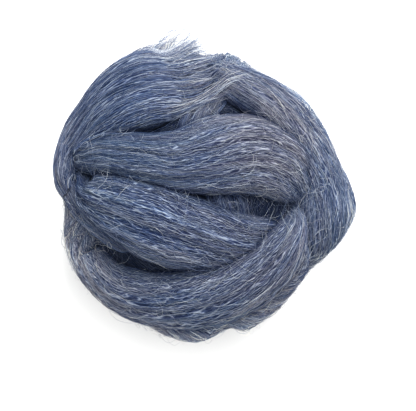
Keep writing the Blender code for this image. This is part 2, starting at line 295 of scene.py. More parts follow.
def streaks(dye, long, wide, detail=2, crimp=0.0):
    """Noise drawn out along the fibres, into streaks of a length and width that may be crimped."""
    lay = dye.node("ShaderNodeUVMap", {"uv_map": "lay"}, {})
    if crimp:
        along = dye.node("ShaderNodeSeparateXYZ", {}, {0: lay})
        beat = dye.node("ShaderNodeTexNoise", {"noise_dimensions": "2D"}, {"Vector": lay, "Scale": 90})
        wave = dye.maths("SINE", along * (math.tau / CRIMP_LONG) + beat * 14, 0)
        moved = dye.node("ShaderNodeCombineXYZ", {}, {"Y": wave * crimp})
        lay = dye.node("ShaderNodeVectorMath", {"operation": "ADD"}, {0: lay, 1: moved})
    size = (1 / long, 1 / wide, 1)
    drawn = dye.node("ShaderNodeVectorMath", {"operation": "MULTIPLY"}, {0: lay, 1: size})
    given = {"Vector": drawn, "Scale": 1, "Detail": detail, "Roughness": 0.6}
    return dye.node("ShaderNodeTexNoise", {"noise_dimensions": "2D"}, given)


def hair_lines(dye, pitch, slope, wander):
    """Thin broken lines a pitch apart, which wander and merge as combed hairs do."""
    lay = dye.node("ShaderNodeUVMap", {"uv_map": "lay"}, {})
    split = dye.node("ShaderNodeSeparateXYZ", {}, {0: lay})
    along, across = split, Dye(dye.tree, split.socket.node.outputs[1])
    drift = streaks(dye, 20 * MM, 3 * MM, 1)
    turned = (across + along * slope) * (1 / pitch) + drift * wander
    wave = dye.maths("SINE", turned * math.tau, 0) * 0.5 + 0.5
    return dye.maths("POWER", wave, 5) * (streaks(dye, 34 * MM, 1.5 * MM, 1) * 1.5 + 0.15)


PALE_HAIR = (2.5, 2.8, 2.9)  # of the palest hairs, as so many times the blue of their blend
MOST_PALE = 0.45  # how much of that is mixed in at most


def wound_wool():
    """The body of the roving: crimped hairs, darker and lighter than the blend there."""
    wool, shader, dye = new_wool("wound_wool")
    fine = streaks(dye, 19 * MM, 0.34 * MM, 1, 0.25 * MM)
    locks = streaks(dye, 45 * MM, 2.4 * MM, 2)
    combed = hair_lines(dye, 0.92 * MM, 0.06, 2.6) + hair_lines(dye, 1.17 * MM, -0.08, 2.6)
    tangled = hair_lines(dye, 2.3 * MM, 0.42, 3) + hair_lines(dye, 2.7 * MM, -0.36, 3)
    hair = fine * 0.36 + locks * 0.24 + combed * 0.24 + tangled * 0.07 + 0.03
    stops = [(0.345, (0.19, 0.21, 0.28)), (0.47, (0.80, 0.80, 0.83)), (0.605, (2.0, 1.85, 1.7))]
    blend, tinted = dyed(dye, stops, hair)
    blue = dye.node("ShaderNodeSeparateColor", {}, {0: blend}, output=2)
    pale = dye.node("ShaderNodeVectorMath", {"operation": "SCALE"}, {0: PALE_HAIR, "Scale": blue})
    much = dye.maths("MINIMUM", (hair - 0.49) * 3.0, MOST_PALE)
    lit = dye.node("ShaderNodeMix", {"data_type": "RGBA"}, {0: much, 6: tinted, 7: pale}, output=2)
    dye.feed(shader.inputs["Base Color"], lit)
    dye.feed(shader.inputs["Roughness"], 0.95 - fine * 0.2)
    grooves = dye.node("ShaderNodeBump", {}, {"Strength": 1.0, "Distance": 0.7 * MM, "Height": hair * 2.2})
    dye.feed(shader.inputs["Normal"], grooves)
    return wool


CRIMP_LONG = 5 * MM
WOUND_WOOL = wound_wool()
heart_towards = direction(*np.meshgrid(
    np.linspace(0, -360, HEART_SIDES, endpoint=False), np.linspace(-90, 90, HEART_RINGS)
))
heart_lay = np.stack(np.meshgrid(
    ARC_RADIUS * np.linspace(0, math.tau, HEART_SIDES + 1),
    ARC_RADIUS * np.linspace(0, math.pi, HEART_RINGS),
), -1)
heart = skin(
    "heart",
    rested(at_height(heart_towards, heart_height(heart_towards)), HEART_LOWEST),
    closed=False,
    lay=heart_lay,
    # painted shade deep between the turns
    colours=in_shade(HEART_PAINTED_SHADE, blended(warmth(heart_towards), HEART_LIGHT)),
    fold=2,
)
heart.data.materials.append(WOUND_WOOL)
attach(heart, "root")
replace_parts(heart, "wound_ball")


# The turns of roving: one long strand of combed wool as thick as a thumb, wound round the heart
# by hand. It holds by its own friction, and each turn here is one visible stretch of it.
Turn = namedtuple("Turn", "name closed furrows twist sections")
Route = namedtuple("Route", "turn phase length distance columns")
# A turn's sections follow each other along it, each with its bearing, elevation, width, lift of its
# edges and rise of its crown. Angles are in degrees here, and lengths in millimetres. The furrows of
# a twisted turn come round so many times to a metre.
TURNS = (
    Turn("upper", False, 3, 0, (
        (170, 14, 18, 0, 5), (167, 27, 20, 3, 6.5), (165, 35, 20, 5, 8.5), (163.5, 41, 20, 5, 9.5),
        (161, 47, 23, 5, 10), (158, 56, 26, 5, 10), (151, 67.5, 29, 5, 10), (133, 76, 33, 5, 10.5),
        (96, 78.5, 38, 5, 11), (62, 75.5, 42, 5, 11), (43, 69.5, 43, 4.5, 11),
        (31, 63, 44, 3.5, 11), (21, 56, 43, 2.5, 10.5), (13, 49, 42, 1.5, 10), (6, 42, 38, 0.5, 8),
        (0, 36, 30, 0, 6), (356, 31, 18, 0, 4),
    )),
    Turn("middle", False, 3, 0, (
        (174, 14, 14, 0, 5), (174, 28, 9, 2, 6), (176, 35, 8, 3, 8), (180, 37, 13, 3, 9.5),
        (184.5, 40.5, 25, 3, 10.5), (189.5, 49, 37, 3, 11), (199, 58.3, 43.5, 3, 11),
        (218, 65.6, 47.5, 3, 11), (242, 68.6, 45, 3, 11), (270, 68.6, 42.5, 2, 10.5),
        (292, 64.2, 39, 1.5, 10), (308, 57, 36, 1, 8.5), (320, 49, 32, 0, 7), (330, 39, 26, 0, 4),
    )),
    Turn("lower", False, 3, 0, (
        (190, 44, 14, 0, 5), (194, 34, 16, 0, 8), (197.5, 25, 24, 0, 10), (201, 16, 30, 0.5, 11.5),
        (206, 11, 35, 1, 12), (213, 10.5, 39, 1.5, 12), (222, 13, 43, 2, 12),
        (232, 17.5, 45, 2.5, 12.5), (244, 23.5, 48, 3, 12.5), (262, 31, 50, 3.5, 12.5),
        (283, 38.5, 50, 4, 12), (299, 43, 46, 4, 12), (313, 44.5, 38, 4, 12), (325, 45, 30, 4, 11),
        (334, 45, 21, 3.5, 10), (341, 44.5, 12, 2, 8), (348, 44, 8, 0, 4),
    )),
    Turn("right", True, 4, 0, (
        (100, -20, 30, 0, 6), (94, 5, 30, 0, 4), (87, 20, 28, 0, 4), (79, 30, 30, 1, 6),
        (66, 37, 33, 3, 7.5), (51, 38, 36, 3.5, 8.5), (35, 36, 40, 3.5, 8.5), (19, 33, 43, 3.5, 9),
        (6, 29, 45, 3, 10.5), (355, 26, 46, 2, 14), (346, 22, 44, 2, 14.5), (341, 15, 40, 1, 13),
        (338, 4, 36, 0, 10), (334, -12, 34, 0, 10), (329, -42, 38, 0, 12), (322, -70, 40, 0, 13),
        (170, -80, 40, 0, 13), (132, -52, 36, 0, 11),
    )),
    Turn("tail", False, 4, 0, (
        (214, 44, 16, 0, 5), (202, 38, 20, 0, 7), (192, 31, 24, 0, 9), (184, 26, 30, 0, 11),
        (177, 22, 36, 1, 12), (171, 20.5, 38, 2, 12), (165, 19, 38, 2, 12), (157, 20.5, 40, 2, 12),
        (148, 25, 46, 2, 12), (139, 28, 55, 2, 13), (127, 31, 64, 2, 14), (118, 32.5, 67, 2, 14),
        (110, 33, 62, 2, 12), (104, 32.5, 50, 1, 7.5),
    )),
    Turn("rope", False, 2, 75, (
        (236, -6, 24, 0, 8), (252, 4, 26, 0, 12), (262, 9, 28, 0, 15), (272, 12, 28, 0, 15.5),
        (280, 14, 22, 0, 11), (288, 17, 26, 0, 16), (300, 20, 26, 0, 14), (311, 24, 24, 0, 12),
        (320, 28, 20, 0, 11), (327, 33, 14, 0, 9), (333, 38, 9, 0, 4),
    )),
    Turn("belt", True, 3, 0, (
        (0, 4, 38, 0, 14), (12, 5, 38, 0, 7.5), (28, 5, 38, 0, 5.5), (42, 4, 38, 0, 5),
        (60, 3, 38, 0, 2.5), (88, -2, 40, 0, 3.5), (103, 0, 40, 0, 12), (115, 0, 42, 0, 14),
        (130, 2, 40, 0, 9.5), (150, 3, 38, 0, 11.5), (175, 2, 34, 0, 10.5), (188, 0, 30, 0, 7),
        (202, -2, 36, 0, 11), (218, -4, 40, 0, 12), (243, -3, 40, 0, 13.5), (268, -4, 38, 0, 10.5),
        (300, -6, 36, 0, 8.5), (322, -6, 32, 0, 6.5), (334, -2, 34, 0, 10), (343, 0, 36, 0, 16),
        (352, 2, 38, 0, 18),
    )),
    Turn("under", True, 3, 0, (
        (0, -30, 38, 0, 11), (40, -36, 38, 0, 9), (80, -34, 38, 0, 9), (120, -28, 38, 0, 11),
        (160, -30, 38, 0, 11), (200, -36, 38, 0, 11), (240, -30, 38, 0, 11), (280, -28, 38, 0, 8),
        (320, -32, 38, 0, 6),
    )),
    Turn("foot", True, 3, 0, (
        (0, -54, 40, 0, 11), (60, -58, 40, 0, 11), (120, -53, 40, 0, 11), (180, -57, 40, 0, 11),
        (240, -53, 40, 0, 11), (300, -58, 40, 0, 11),
    )),
    Turn("inner", True, 2, 0, (
        (78, 20, 30, 0, 6), (80, 44, 17, 0, 5), (98, 64, 20, 0, 3.5), (50, 84, 30, 0, 4),
        (305, 72, 32, 0, 4.5), (283, 55, 34, 0, 4), (266, 20, 34, 0, 6), (258, -20, 34, 0, 6),
        (250, -55, 38, 0, 12), (200, -80, 40, 0, 13), (85, -62, 38, 0, 12), (80, -20, 34, 0, 6),
    )),
)
SPLINE_STEPS = 12
PROFILE_SQUARENESS = 2.2
PROFILE_EDGE = 0.7
FURROW_DEPTH = 1.2 * MM
FURROW_WANDER = 0.9
BUNCH_HEIGHT = 0.08
TURN_BURIED = 3 * MM  # how deep a turn's underside sinks into the heart
RING_SPACING = 2.6 * MM
TOP_POINTS = 40  # of a turn's section that shows, from edge to edge
UNDER_POINTS = 8
ROUND_END = np.radians([90, 74, 58, 42, 28, 14])  # rings that round off a turn's end
TURN_LIGHT = 0.43  # the share of light fibre in a turn's blend
LOWEST_STEP = 0.12 * MM  # between the flats of the turns that lie on the table
RIDGE_HEIGHT = 0.5 * MM
RIDGE_PITCHES = (3.3 * MM, 5.3 * MM)
AROUND = (5 * MM, 10 * MM)  # how far off the heights are that a crease is told by
# Painted shade in the creases, which is full this deep below the heights around.
CREASE_DEEP = 4.5 * MM
CREASE_PAINTED_SHADE = 0.90
# Painted shade along the seams, where one turn lies over another.
SEAM_AROUND = (1.0 * MM, 2.0 * MM, 3.0 * MM)
SEAM_PAINTED_SHADE = 0.72
SEAM_CLEAR = 1.6 * MM  # a hair so high above a seam is as light as any other
SIDES_PAINTED_LIGHT = 0.62  # painted light round the sides, where more light gets through the wool and comes back off the table
SIDES_AT = 8  # degrees up, and how far off that it is felt
SIDES_REACH = 16
# Painted shade over the top of the ball.
TOP_PAINTED_SHADE = 0.12
TOP_FROM = 50  # degrees up, and over how many it comes in
TOP_OVER = 25
# Painted light on the crowns of the turns.
CROWN_PAINTED_LIGHT = 0.18
MAP_STEP = 0.75  # degrees between the values in a map of the ball
# Which turn lies over which where two meet, from the lowest to the uppermost.
LAID_OVER = ("inner", "foot", "under", "belt", "rope", "upper", "right", "middle", "lower", "tail")
# Spots of painted shade beyond what the creases give, or of painted light where the share is below 0:
# # bearing, elevation, radius in millimetres and the share that is lost.
PAINTED_SHADE_AND_LIGHT_SPOTS = (
    (176, 50, 6, -0.5), (180, 64, 6, -0.5), (140, 68, 24, -0.07), (66, 50.5, 5, 0.85),
    (57, 51, 4, 0.7), (82, 41, 2.5, 0.6), (116, 61.5, 4.5, 0.8), (126, 59, 5, 0.8),
    (333, 72.5, 3, 0.6), (347, 53.5, 3.5, 0.6), (350, 48.5, 3, 0.45), (0, 49, 3, 0.35),
    (104, 65, 4, 0.45), (165, 32, 3, 0.4), (172, 35, 3.5, 0.5), (178, 37, 3.5, 0.5),
    (184, 41, 3.5, 0.45), (184, 18, 26, 0.22), (201, 22, 18, -0.6), (250, 62, 11, -0.22),
    (357, 24, 16, 0.2), (95, 20, 22, -0.05), (40, 15, 34, -0.3), (292, 24, 26, -0.42),
    (127, 35, 18, 0.3), (306, 57, 22, 0.16), (150, 28, 38, 0.26), (215, 45, 36, 0.12),
)


def spline(points, closed):
    """Catmull-Rom samples through the rows of an array, which may hold any number of columns."""
    first, last = (points[-1:], points[:2]) if closed else (points[:1], points[-1:])
    rows = np.concatenate([first, points, last])
    before, start, end, after = (rows[k : len(rows) - 3 + k, None] for k in range(4))
    share = np.linspace(0, 1, SPLINE_STEPS, endpoint=False)[:, None]
    samples = (
        start
        + 0.5 * share * (end - before)
        + share**2 * (before - 2.5 * start + 2 * end - 0.5 * after)
        + 0.5 * share**3 * (3 * (start - end) + after - before)
    ).reshape(-1, points.shape[1])
    return samples if closed else np.concatenate([samples, points[-1:]])


def route_of(turn, phase):
    """A turn's way round the ball: at each distance along it, in columns, the unit vectors to its
    middle, across and along it, and its width, lift and crown."""
    rows = [
        [*direction(bearing, elevation), width * MM, lift * MM, crown * MM]
        for bearing, elevation, width, lift, crown in turn.sections
    ]
    samples = spline(np.array(rows), turn.closed)
    middle = unit(samples[:, :3])
    if turn.closed:
        ahead = np.roll(middle, -1, axis=0) - np.roll(middle, 1, axis=0)
    else:
        ahead = np.gradient(middle, axis=0)
    across = unit(np.cross(middle, ahead))
    along = unit(np.cross(across, middle))
    columns = np.concatenate([middle, across, along, samples[:, 3:]], 1)
    if turn.closed:
        columns = np.concatenate([columns, columns[:1]])
    steps = np.linalg.norm(np.diff(columns[:, :3], axis=0), axis=1)
    distance = ARC_RADIUS * np.concatenate([[0], np.cumsum(steps)])
    return Route(turn, phase, distance[-1], distance, columns)


def crown_profile(across):
    """The rise of a turn's crown, from 0 at its edges to 1, where across runs from -1 to 1."""
    return np.clip(1 - np.abs(across) ** PROFILE_SQUARENESS, 0, 1) ** PROFILE_EDGE


def sway(route, distance):
    """How far a turn's locks of fibre wander sideways, as a share of half its width."""
    phase = route.phase
    wander = FURROW_WANDER * (np.sin(38 * distance + phase) + 0.6 * np.sin(83 * distance + 2 * phase))
    round_it = math.tau * route.turn.twist * distance
    return (wander + round_it) / (math.pi * route.turn.furrows)


def crown_height(route, distance, across, reach, lift, crown):
    """A turn's height above the heart at a distance along it and a place across it."""
    lane = across + sway(route, distance)
    wave = 0.5 + 0.5 * np.cos(math.pi * route.turn.furrows * lane + route.phase)
    bunch = 1 + BUNCH_HEIGHT * np.sin(55 * distance + 3 * route.phase)
    return lift + (crown * bunch - FURROW_DEPTH * wave**3) * crown_profile(reach)


def turn_height(route, towards):
    """How far one turn stands above the heart in each direction, or 0 where it doesn't pass."""
    last = len(route.columns) - (2 if route.turn.closed else 1)
    middle, across, along = (route.columns[: last + 1, k : k + 3] for k in (0, 3, 6))
    width, lift, crown = route.columns[: last + 1, 9:].T
    nearest = np.argmax(towards @ middle.T, axis=1)
    onward = ARC_RADIUS * np.arcsin(np.clip(np.sum(towards * along[nearest], 1), -1, 1))
    sideways = ARC_RADIUS * np.arcsin(np.clip(np.sum(towards * across[nearest], 1), -1, 1))
    past = np.where(nearest == 0, -onward, np.where(nearest == last, onward, 0)).clip(0)
    if route.turn.closed:
        past = 0 * past
    half = width[nearest] / 2
    reach = np.hypot(sideways, past) / half
    facing = np.sum(towards * middle[nearest], 1) > 0
    distance, across = route.distance[nearest], sideways / half
    own = crown_height(route, distance, across, reach, lift[nearest], crown[nearest])
    return np.where(facing & (reach < 1), own, 0)


def ball_height(towards):
    """How far the wound ball stands above its heart in each direction."""
    flat = towards.reshape(-1, 3)
    height = heart_height(flat)
    for route in ROUTES:
        height = np.maximum(height, turn_height(route, flat))
    return height.reshape(towards.shape[:-1])


def read(values, towards):
    """What a map of the ball says in each direction, between its values for some bearings and
    elevations."""
    rows, columns = values.shape
    bearing, elevation = bearings(towards)
    row, column = (elevation + 90) / 180 * (rows - 1), bearing % 360 / 360 * columns
    row_0, column_0 = np.floor(row).astype(int).clip(0, rows - 2), np.floor(column).astype(int)
    up, over = row - row_0, column - column_0
    here, beside = column_0 % columns, (column_0 + 1) % columns
    low = values[row_0, here] * (1 - over) + values[row_0, beside] * over
    high = values[row_0 + 1, here] * (1 - over) + values[row_0 + 1, beside] * over
    return low * (1 - up) + high * up


def ball_maps():
    """Three maps of the ball: its height above its heart, the mean of the heights around each
    place, and how much of what is close around is another turn, most where that one lies over."""
    rows = np.linspace(-90, 90, round(180 / MAP_STEP) + 1)
    elevation, bearing = np.meshgrid(rows, np.arange(0, 360, MAP_STEP), indexing="ij")
    towards = direction(bearing, elevation)
    flat = towards.reshape(-1, 3)
    each = np.array([heart_height(flat), *(turn_height(route, flat) for route in ROUTES)])
    surface = each.max(0).reshape(bearing.shape)
    order = np.array([-1, *(LAID_OVER.index(route.turn.name) for route in ROUTES)])
    owner = order[each.argmax(0)].reshape(bearing.shape)
    up = np.array([0.3, 0.2, 0.93]) + 0 * towards  # aslant, so that no place on the grid is in line
    beside = unit(np.cross(up, towards))
    above = np.cross(towards, beside)
    around, seam = 0, 0
    for turned in np.radians(np.arange(0, 360, 45)):
        aside = np.cos(turned) * beside + np.sin(turned) * above
        for away in AROUND:
            around = around + read(surface, unit(towards + away / ARC_RADIUS * aside))
        for away in SEAM_AROUND:
            bearing, elevation = bearings(unit(towards + away / ARC_RADIUS * aside))
            row = np.round((elevation + 90) / MAP_STEP).astype(int)
            column = np.round(bearing / MAP_STEP).astype(int) % owner.shape[1]
            seam = seam + np.select([owner[row, column] > owner, owner[row, column] < owner], [1, 0.3])
    return surface, around / (8 * len(AROUND)), seam / (8 * len(SEAM_AROUND))


def painted_light_and_shade(towards, height):
    """The painted light and shade on wool at a height, as the share of its colour kept: painted shade in
    creases, seams and over the top, and painted light on crowns and round the sides. The painted
    spots of shade and light come on top of that."""
    depth = read(AROUND_MAP, towards) - height
    above = (height - read(SURFACE_MAP, towards)) / SEAM_CLEAR
    seam = smooth_step(2.2 * read(SEAM_MAP, towards)) * (1 - smooth_step(above))
    depth = depth / CREASE_DEEP
    light = 1 - CREASE_PAINTED_SHADE * smooth_step(depth) + CROWN_PAINTED_LIGHT * smooth_step(-depth)
    _, elevation = bearings(towards)
    light = light * (1 + SIDES_PAINTED_LIGHT * np.exp(-(((elevation - SIDES_AT) / SIDES_REACH) ** 2)))
    light = light * (1 - TOP_PAINTED_SHADE * smooth_step((elevation - TOP_FROM) / TOP_OVER))
    for bearing, rise, radius, lost in PAINTED_SHADE_AND_LIGHT_SPOTS:
        away = ARC_RADIUS * np.arccos((towards @ direction(bearing, rise)).clip(-1, 1))
        light = light * (1 - lost * np.exp(-((away / MM / radius) ** 2)))
    return light * (1 - SEAM_PAINTED_SHADE * seam)


def smooth_step(share):
    share = np.clip(share, 0, 1)
    return share * share * (3 - 2 * share)


def on_turn(route, distance, angle, ridged=True):
    """Points on a turn, at a distance along it and an angle round its section, where 0 is its
    crown and 90 degrees its edge: their directions, heights and outward normals."""
    inside = distance % route.length if route.turn.closed else distance.clip(0, route.length)
    middle, across, along = (
        unit(np.stack([np.interp(inside, route.distance, route.columns[:, k + i]) for i in range(3)], -1))
        for k in (0, 3, 6)
    )
    width, lift, crown = (np.interp(inside, route.distance, route.columns[:, k]) for k in (9, 10, 11))
    half = width / 2
    past = 0 * distance if route.turn.closed else np.clip(distance - inside, -half, half)
    tip = np.sqrt(np.clip(1 - (past / half) ** 2, 0, 1))
    offset = np.sin(angle) * tip
    reach = np.hypot(offset, past / half)
    top = crown_height(route, inside, offset, reach, lift, crown)
    if ridged:
        lane = half * (offset + sway(route, inside))
        waves = sum(
            np.sin(math.tau * lane / pitch + (30 + 9 * k) * inside + route.phase * (k + 2))
            for k, pitch in enumerate(RIDGE_PITCHES)
        )
        top = top + RIDGE_HEIGHT * waves * crown_profile(reach)
    under = lift - (lift + TURN_BURIED) * np.sqrt(np.clip(1 - reach**2, 0, 1))
    height = np.where(np.cos(angle) >= 0, top, under)
    swing, stride = offset * half / ARC_RADIUS, past / ARC_RADIUS
    onto = np.cos(stride)[..., None] * middle + np.sin(stride)[..., None] * along
    towards = unit(np.cos(swing)[..., None] * onto + np.sin(swing)[..., None] * across)
    rise = np.where(np.cos(angle) >= 0, crown, lift + TURN_BURIED)
    outward = (half * np.cos(angle))[..., None] * towards + (rise * np.sin(angle))[..., None] * across
    return towards, height, unit(outward)


def turn_rings(route):
    """The distances of a turn's rings along it, with those that round off its ends."""
    rings = np.linspace(0, route.length, round(route.length / RING_SPACING) + 1)
    if route.turn.closed:
        return rings[:-1]
    first, last = route.columns[0, 9] / 2, route.columns[-1, 9] / 2
    before = -first * np.sin(ROUND_END)
    after = route.length + last * np.sin(ROUND_END[::-1])
    return np.concatenate([before, rings, after])


def lock_hue(lane, phase):
    """How much greyer, or more teal where it is below 0, each lock across a turn is."""
    return 0.18 * np.sin(0.75 * lane / MM + phase) + 0.12 * np.sin(1.9 * lane / MM + 2 * phase)


def turn_of_roving(route):
    top = np.arcsin(np.linspace(-1, 1, TOP_POINTS)) * 0.5 + np.linspace(-1, 1, TOP_POINTS) * math.pi / 4
    under = np.linspace(math.pi / 2, 3 * math.pi / 2, UNDER_POINTS + 2)[1:-1]
    angles = np.concatenate([top, under])
    rings = turn_rings(route)
    distance, angle = np.meshgrid(rings, angles, indexing="ij")
    towards, height, _ = on_turn(route, distance, angle)
    points = rested(at_height(towards, height), LOWEST + LOWEST_STEP * ROUTES.index(route))
    lay_rings = np.append(rings, route.length) if route.turn.closed else rings
    lay_angles = np.append(angles, angles[0] + math.tau)
    width = route.columns[:, 9].mean()
    lay = np.stack(np.broadcast_arrays(
        lay_rings[:, None],
        width / 2 * (1.2 * lay_angles[None] + sway(route, lay_rings)[:, None]) + route.phase,
    ), -1)
    lane = width / 2 * (np.sin(angle) + sway(route, distance))
    light = TURN_LIGHT + 0.05 * np.sin(1.1 * lane / MM + 21 * distance + route.phase)
    hue = warmth(towards) + lock_hue(lane, route.phase)
    # Painted shade under the other fibres, and painted light and shade by where the turn lies.
    kept = UNDER_FIBRES_PAINTED_SHADE * painted_light_and_shade(towards, height)
    colours = in_shade(kept, blended(hue, light))
    around = 2.2 * width
    fold = max(1, round(math.sqrt(route.length / around)))
    return skin(f"turn_{route.turn.name}", points, route.turn.closed, lay, colours, fold)


ROUTES = tuple(route_of(turn, 1.7 * number) for number, turn in enumerate(TURNS))
SURFACE_MAP, AROUND_MAP, SEAM_MAP = ball_maps()
for route in ROUTES:
    piece = turn_of_roving(route)
    piece.data.materials.append(WOUND_WOOL)
    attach(piece, "root")
    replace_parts(piece, "wound_ball")


# The combed fibres: the wool's own staple, all drawn one way along the roving, with a soft crimp.
# They lie over and into the turns, and their blended dyes give the heather its streaks.
rng = np.random.default_rng(20)
FIBRE_POINTS = 10
ALONG_FIBRE = np.linspace(0, 1, FIBRE_POINTS)[None]
FIBRE_LENGTHS = (11 * MM, 26 * MM)
FIBRE_RADII = (0.05 * MM, 0.13 * MM)
FIBRES_PER_SQUARE_METRE = 205_000
FIBRE_RISE = 0.30 * MM  # the mean height of a fibre's middle above the turn
FIBRE_TUCK = 0.25 * MM  # how deep its ends go back into the turn
CRIMP_DEEP = 0.2 * MM
FIBRE_LOWEST = 0.35 * MM
HIDDEN_AT = 1.2 * MM  # deeper than this under the next turn, a fibre isn't seen
HIDDEN_BELOW = 0.6 * MM  # a part of a fibre this low is under the ball, and isn't seen either
FIBRES_A_PIECE = 4000
FEWER_BELOW = 0.75  # the share of fibres left out on the underside
FIBRE_COLUMNS = 16  # of the strips that give each fibre its room in a baked picture


def combed_fibre():
    """The fibres' finish: each has its own dye, a little uneven along its length."""
    wool, shader, dye = new_wool("combed_fibre")
    uneven = streaks(dye, 5 * MM, 0.5 * MM)
    stops = [(0.25, (0.72, 0.74, 0.8)), (0.75, (1.2, 1.2, 1.15))]
    dye.feed(shader.inputs["Base Color"], dyed(dye, stops, uneven)[1])
    dye.feed(shader.inputs["Roughness"], 0.7 + uneven * 0.25)
    return wool


def spun(name, paths, normals, radii, colours):
    """Closed three-sided fibres along paths, each tapered to its two tips. A fibre has a radius, and
    a colour at each point of its path."""
    count, points = paths.shape[:2]
    rings = points - 2
    ahead = unit(np.gradient(paths, axis=1))
    beside = unit(np.cross(ahead, normals))
    upward = np.cross(beside, ahead)
    share = np.linspace(0, 1, points)
    taper = np.sin(math.pi * share.clip(0.02, 0.98)) ** 0.4
    radius = (radii.reshape(count, -1) * taper)[:, 1:-1, None, None]
    turned = np.radians([90, 210, 330])[:, None]
    spokes = np.sin(turned) * upward[:, 1:-1, None] + np.cos(turned) * beside[:, 1:-1, None]
    tube = paths[:, 1:-1, None] + radius * spokes
    flat = np.concatenate([tube.reshape(count, -1, 3), paths[:, :1], paths[:, -1:]], 1)
    each = flat.shape[1]
    ring, side = (grid.ravel() for grid in np.mgrid[0 : rings - 1, 0:3])
    onward = (side + 1) % 3
    quads = np.stack([ring * 3 + side, ring * 3 + 3 + side, ring * 3 + 3 + onward, ring * 3 + onward], 1)
    sides = np.arange(3)
    first = np.stack([sides, (sides + 1) % 3, 0 * sides + each - 2], 1)
    last = np.stack([(rings - 1) * 3 + sides, 0 * sides + each - 1, (rings - 1) * 3 + (sides + 1) % 3], 1)
    corners = np.concatenate([quads.ravel(), first.ravel(), last.ravel()])
    sizes = np.concatenate([np.full(len(quads), 4), np.full(6, 3)])
    strip_x = np.concatenate([
        np.stack([ring + 1, ring + 2, ring + 2, ring + 1], 1).ravel(),
        np.tile([1, 1, 0], 3),
        np.tile([rings, rings + 1, rings], 3),
    ]) / (rings + 1)
    strip_y = np.concatenate([
        np.tile([0, 0, 1, 1], len(quads)), np.tile([0, 1, 0.5], 3), np.tile([0, 0.5, 1], 3)
    ])
    number = np.arange(count)[:, None]
    rows = math.ceil(count / FIBRE_COLUMNS)
    bake = np.stack([
        (number % FIBRE_COLUMNS + 0.03 + 0.94 * strip_x) / FIBRE_COLUMNS,
        (number // FIBRE_COLUMNS + 0.15 + 0.7 * strip_y) / rows,
    ], -1)
    lengths = np.linalg.norm(np.diff(paths, axis=1), axis=2).sum(1)[:, None]
    lay = np.stack([number * 0.137 + strip_x * lengths, number * 0.011 + strip_y * 0.2 * MM], -1)
    tints = np.concatenate([np.repeat(colours[:, 1:-1], 3, axis=1), colours[:, :1], colours[:, -1:]], 1)
    corners, sizes = (number * each + corners).ravel(), np.tile(sizes, count)
    flat, tints = flat.reshape(-1, 3), tints.reshape(-1, 3)
    piece = built(name, flat, corners, sizes, lay.reshape(-1, 2), bake.reshape(-1, 2), tints)
    piece.data.materials.append(COMBED_FIBRE)
    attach(piece, "root")
    return piece


def round_the_edge(across):
    """The angle round a turn's section for a place across it, which may go past its edges."""
    over = np.clip(np.abs(across) - 1, 0, 0.5)
    return np.arcsin(np.clip(across, -1, 1)) + np.sign(across) * 2 * over


def staple_colours(towards, height, lane, number, warmer=1.0, lighter=0.0):
    """The dye along each fibre, by where it lies, the lock it is in and its own tone, under painted
    light and shade.
    """
    middle = towards[:, towards.shape[1] // 2]
    lock = np.sin(2.6 * lane / MM + number) * np.sin(0.9 * lane / MM + 2 * number)
    light = rng.beta(1.0, 1.5, len(towards)) + 0.08 * lock + lighter
    light = np.where(rng.random(len(towards)) < 0.07, light + 0.4, light)
    warm = warmer * warmth(middle) + lock_hue(lane, 1.7 * number) + rng.normal(0, 0.25, len(towards))
    own = blended(warm, light.clip(0, 1))
    return in_shade(painted_light_and_shade(towards, height), own[:, None])


def fibres_on(route, number):
    """The fibres drawn along one turn: their paths, normals, radii and colours."""
    width = route.columns[:, 9].mean()
    count = round(FIBRES_PER_SQUARE_METRE * route.length * width)
    long = rng.uniform(*FIBRE_LENGTHS, (count, 1))
    start = rng.uniform(0, route.length, (count, 1)) - long / 2
    distance = start + long * ALONG_FIBRE
    centre = rng.uniform(-1.12, 1.12, (count, 1)) + sway(route, start + long / 2)
    half = width / 2
    slant = rng.normal(0, 1.3 * MM, (count, 1)) * (ALONG_FIBRE - 0.5) * 2 / half
    beat = math.tau * distance / CRIMP_LONG + 1.7 * centre * half / MM + rng.normal(0, 0.7, (count, 1))
    crimp = CRIMP_DEEP * rng.uniform(0.2, 1.3, (count, 1)) * np.sin(beat)
    across = centre - sway(route, distance) + slant + crimp / half
    towards, height, normals = on_turn(route, distance, round_the_edge(across))
    covered = ball_height(towards) - height
    rise = FIBRE_RISE * rng.exponential(1, (count, 1)).clip(0, 3.2)
    arch = np.sin(math.pi * ALONG_FIBRE) ** 0.6
    points = at_height(towards, height) + ((rise + FIBRE_TUCK) * arch - FIBRE_TUCK)[..., None] * normals
    seen = (covered < HIDDEN_AT) & (points[..., 2] > HIDDEN_BELOW)
    low = smooth_step((-0.25 - towards[:, FIBRE_POINTS // 2, 2]) / 0.45)
    kept = (seen.mean(1) > 0.3) & (rng.random(count) > FEWER_BELOW * low)
    colours = staple_colours(towards, height, (centre * half)[:, 0], number)
    radii = rng.uniform(*FIBRE_RADII, count)
    return rested(points, FIBRE_LOWEST)[kept], normals[kept], radii[kept], colours[kept]


COMBED_FIBRE = combed_fibre()
laid = [fibres_on(route, number) for number, route in enumerate(ROUTES)]
paths, normals, radii, colours = (np.concatenate(part) for part in zip(*laid))
for piece_number, start in enumerate(range(0, len(paths), FIBRES_A_PIECE)):
    some = slice(start, start + FIBRES_A_PIECE)
    piece = spun(f"fibres_{piece_number + 1}", paths[some], normals[some], radii[some], colours[some])
    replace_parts(piece, "wound_ball")


